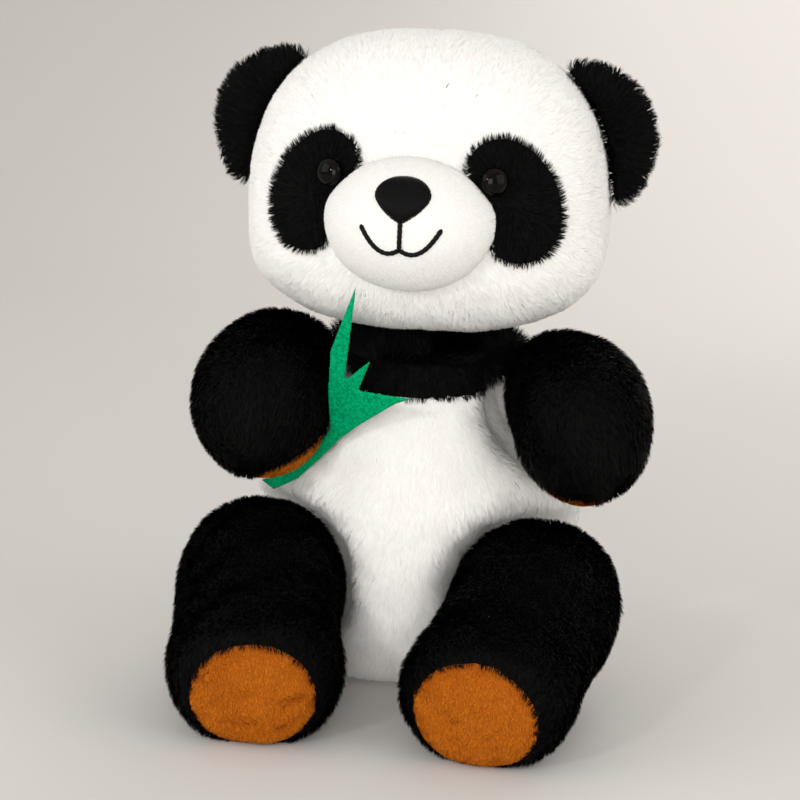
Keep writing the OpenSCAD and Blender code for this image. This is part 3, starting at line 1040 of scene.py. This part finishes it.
tail_pile = pile(
    "tail_pile",
    [tail],
    density=1.8,
    length=6.0 * MM,
    width=0.45 * MM,
    comb=down,
    finish=white_pile,
    lean=1.0,
    seed=73,
    airy=True,
)

# %% [markdown]
# The pile of the arms and legs lies toward their ends, and falls a little.

# %% Arms and legs
arm_piles, leg_piles = {}, {}
HIP = np.array((68, -24, 56)) * MM
SHOULDER = np.array((54, -14, 156)) * MM


def toward(way):
    return lambda p: np.tile(unit(way), (len(p), 1)) + (0, 0, -0.3)


for side, sign in zip(SIDES, (-1, 1)):
    mirror = np.array((sign, 1, 1))
    palm_way = palm_line[side].centre - SHOULDER * mirror
    sole_way = sole_line[side].centre - HIP * mirror
    arm_piles[side] = pile(
        f"arm_pile_{side}",
        [arms[side]],
        density=1.5,
        length=5.6 * MM,
        width=0.45 * MM,
        comb=toward(palm_way),
        finish=black_pile,
        keep=lambda p, side=side: ~palm_line[side].covers(p, 0.96, 20 * MM),
        lean=1.3,
        seed=80 + sign,
    )
    leg_piles[side] = pile(
        f"leg_pile_{side}",
        [legs[side]],
        density=1.4,
        length=5.6 * MM,
        width=0.45 * MM,
        comb=toward(sole_way),
        finish=black_pile,
        keep=lambda p, side=side: ~sole_line[side].covers(p, 0.97, 30 * MM),
        lean=1.3,
        seed=90 + sign,
    )

# %% [markdown]
# Soles, palm pads and the snout have a short nap, which wanders on the brown
# cloth and lies even on the snout.

# %% Brown nap on soles and palm pads
velour = dict(
    density=5.0,
    length=1.6 * MM,
    width=0.35 * MM,
    comb=down,
    finish=brown_pile,
    lean=1.3,
    tuft=14,
    pull=0.5,
    wander=0.7,
    swirl=16 * MM,
)
sole_naps, palm_naps = {}, {}
for side, sign in zip(SIDES, (-1, 1)):
    sole_naps[side] = pile(
        f"sole_nap_{side}", [soles[side]], seed=100 + sign, **velour
    )
    palm_naps[side] = pile(
        f"palm_nap_{side}", [palms[side]], seed=110 + sign, **velour
    )

# %% Fine white nap on the snout, and black pile round the neck
snout_nap = pile(
    "snout_nap",
    [snout],
    density=4.0,
    length=1.0 * MM,
    width=0.3 * MM,
    comb=head_comb,
    finish=white_pile,
    keep=lambda p: under_snout(p, 1.1) & (p[:, 1] < -60 * MM),
    lean=1.2,
    tuft=10,
    pull=0.1,
    wander=0.1,
    softness=0.97,
    seed=120,
    airy=True,
)
neck_pile = pile(
    "neck_pile",
    [neck],
    density=1.5,
    length=9.0 * MM,
    width=0.45 * MM,
    comb=lambda p: (p - NECK) * (1, 1, 0),
    finish=black_pile,
    lean=0.8,
    seed=121,
)

# %% [markdown]
# The cloth between the blades has the colour of its pile. The faces of the torso
# above the seam of the band are black.

# %% Cloth colours under the pile
for form in (head, tail, snout):
    form.data.materials.append(white_cloth)
for form in [neck, *arms.values(), *legs.values(), *ears.values()]:
    form.data.materials.append(black_cloth)
torso.data.materials.append(white_cloth)
torso.data.materials.append(black_cloth)
faces = np.array([f.center for f in torso.data.polygons])
torso.data.polygons.foreach_set(
    "material_index", (faces[:, 2] > band_edge(faces)).astype(np.int32)
)

# %% [markdown]
# ## Bamboo leaf
#
# One piece of felt, held between the paw and its palm pad. It is remeshed finely,
# smoothed a little, and given a felted surface.

# %% Leaf
leaf = joined("leaf_felt", ["bamboo_leaf"])
only_modifier(leaf, "REMESH", mode="VOXEL", voxel_size=0.8 * MM)
only_modifier(leaf, "SMOOTH", factor=0.5, iterations=2)


def felt_finish():
    """Pressed wool: two greens in small clouds, and a fine rough surface."""
    m = material("felt", (0.0, 0.30, 0.115), 0.95, specular=0.04)
    tree = m.node_tree
    shader = tree.nodes["Principled BSDF"]
    where = tree.nodes.new("ShaderNodeTexCoord")
    clouds = tree.nodes.new("ShaderNodeTexNoise")
    clouds.inputs["Scale"].default_value = 700
    clouds.inputs["Detail"].default_value = 6
    ramp = tree.nodes.new("ShaderNodeValToRGB")
    ramp.color_ramp.elements[0].position = 0.35
    ramp.color_ramp.elements[0].color = (0.0, 0.23, 0.083, 1)
    ramp.color_ramp.elements[1].position = 0.65
    ramp.color_ramp.elements[1].color = (0.001, 0.42, 0.17, 1)
    bump = tree.nodes.new("ShaderNodeBump")
    bump.inputs["Strength"].default_value = 0.5
    bump.inputs["Distance"].default_value = 0.4 * MM
    link = tree.links.new
    link(where.outputs["Object"], clouds.inputs["Vector"])
    link(clouds.outputs["Fac"], ramp.inputs[0])
    link(ramp.outputs["Color"], shader.inputs["Base Color"])
    link(clouds.outputs["Fac"], bump.inputs["Height"])
    link(bump.outputs["Normal"], shader.inputs["Normal"])
    return m


leaf.data.materials.append(felt_finish())
leaf.data.polygons.foreach_set("use_smooth", [True] * len(leaf.data.polygons))
print("leaf faces", len(leaf.data.polygons))

# %% CAD nodes that stay in view take plainer finishes
for name, finish in {
    "leaf_thread": thread_green,
    "closing_thread": thread_white,
    "eye_washer_right": washer,
    "eye_washer_left": washer,
}.items():
    nodes[name].data.materials.clear()
    nodes[name].data.materials.append(finish)

# %% [markdown]
# ## Bodies and soft pieces
#
# Each piece rides on one CAD body. A puffed form stands for the panels and the
# stuffing that it was made around, and its pile only rides with it.

# %% Ride and replace
FACE = ["face_panel_right", "face_panel_left", "head_back_right", "head_back_left"]
BELLY = ["belly_panel_right", "belly_panel_left", "back_panel_right", "back_panel_left"]


def place(piece, body, stands_for=(), slot=None):
    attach(piece, body)
    if stands_for:
        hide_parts(*stands_for)


place(head, "head", [*FACE, "head_stuffing"], "white_pile")
for piece in head_piles:
    place(piece, "head", slot="white_pile")
place(snout, "head", ["snout_skin", "snout_stuffing"], "white_velour")
place(nose, "head", ["nose"], "black_thread")
place(mouth, "head", ["mouth_thread"], "black_thread")
place(snout_nap, "head", slot="white_velour")
place(neck, "neck", ["neck_stuffing"], "black_pile")
place(neck_pile, "neck", slot="black_pile")
BANDS = ["chest_band", "shoulder_band", "seat_panel"]
place(torso, "torso", [*BELLY, *BANDS, "torso_stuffing"])
place(tail, "torso", ["tail"], "white_pile")
place(tail_pile, "torso", slot="white_pile")
for piece in (band_pile, collar_pile):
    place(piece, "torso", slot="black_pile")
for piece in belly_piles:
    place(piece, "torso", slot="white_pile")
for s in SIDES:
    place(patches[s], "head", [f"eye_patch_{s}"], "black_pile")
    place(patch_piles[s], "head", slot="black_pile")
    place(eyes[s], "head", [f"eye_{s}"], "eye_plastic")
    place(ears[s], f"ear_{s}", [f"ear_front_{s}", f"ear_back_{s}"], "black_pile")
    place(ear_piles[s], f"ear_{s}", slot="black_pile")
    arm_nodes = [f"arm_{part}_{s}" for part in ("outer", "inner", "stuffing")]
    leg_nodes = [f"leg_{part}_{s}" for part in ("outer", "inner", "stuffing")]
    place(arms[s], f"arm_{s}", arm_nodes, "black_pile")
    place(arm_piles[s], f"arm_{s}", slot="black_pile")
    place(palms[s], f"arm_{s}", [f"palm_pad_{s}"], "brown_velour")
    place(palm_naps[s], f"arm_{s}", slot="brown_velour")
    place(legs[s], f"leg_{s}", leg_nodes, "black_pile")
    place(leg_piles[s], f"leg_{s}", slot="black_pile")
    place(soles[s], f"leg_{s}", [f"sole_{s}"], "brown_velour")
    place(sole_naps[s], f"leg_{s}", slot="brown_velour")
place(leaf, "leaf", ["bamboo_leaf"], "green_felt")
